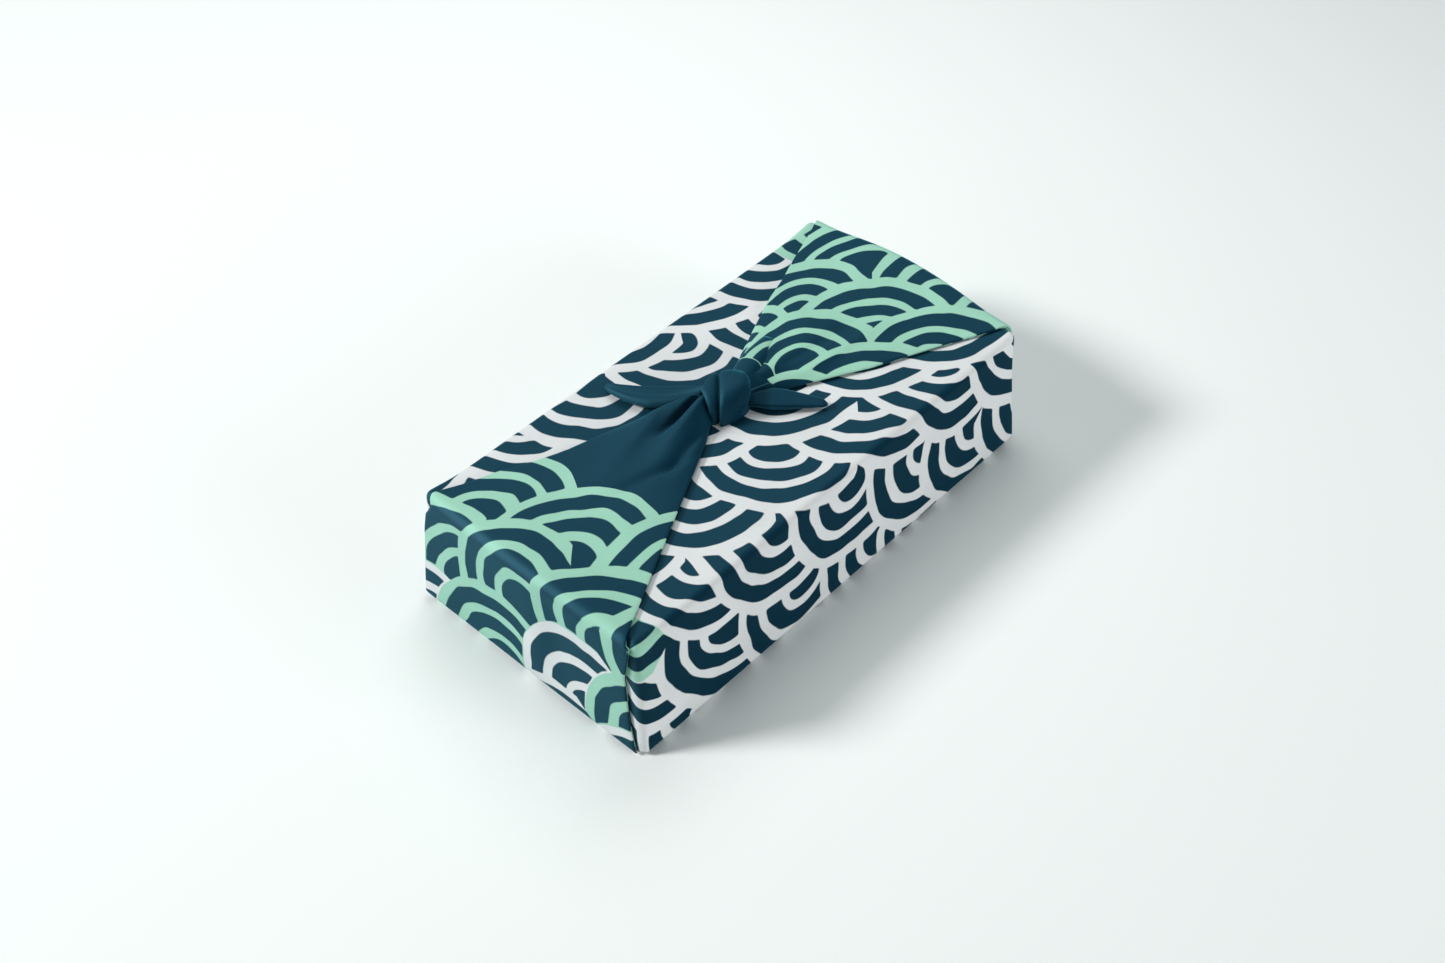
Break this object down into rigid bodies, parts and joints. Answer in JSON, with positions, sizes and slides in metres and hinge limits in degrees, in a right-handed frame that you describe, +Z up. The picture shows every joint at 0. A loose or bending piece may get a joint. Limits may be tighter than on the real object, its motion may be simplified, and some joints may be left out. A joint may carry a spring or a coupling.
{
  "type": "furoshiki wrap",
  "caption": "Box-shaped bundle of one folded square cloth, its end flaps drawn over the lid and tied in a small knot with short leaf-shaped ends.",
  "frame": {"origin": "middle of the bundle's box, on the surface that it stands on", "axes": "+X along the long side; +Z up, through the knot"},
  "size_m": [0.2672, 0.1392, 0.0836],
  "materials": {
    "printed_cotton": "smooth cotton sateen, navy ground with a white and mint print of overlapping arcs, soft sheen"
  },
  "bodies": {
    "root": {"furoshiki_cloth": "printed_cotton"}
  },
  "joints": []
}
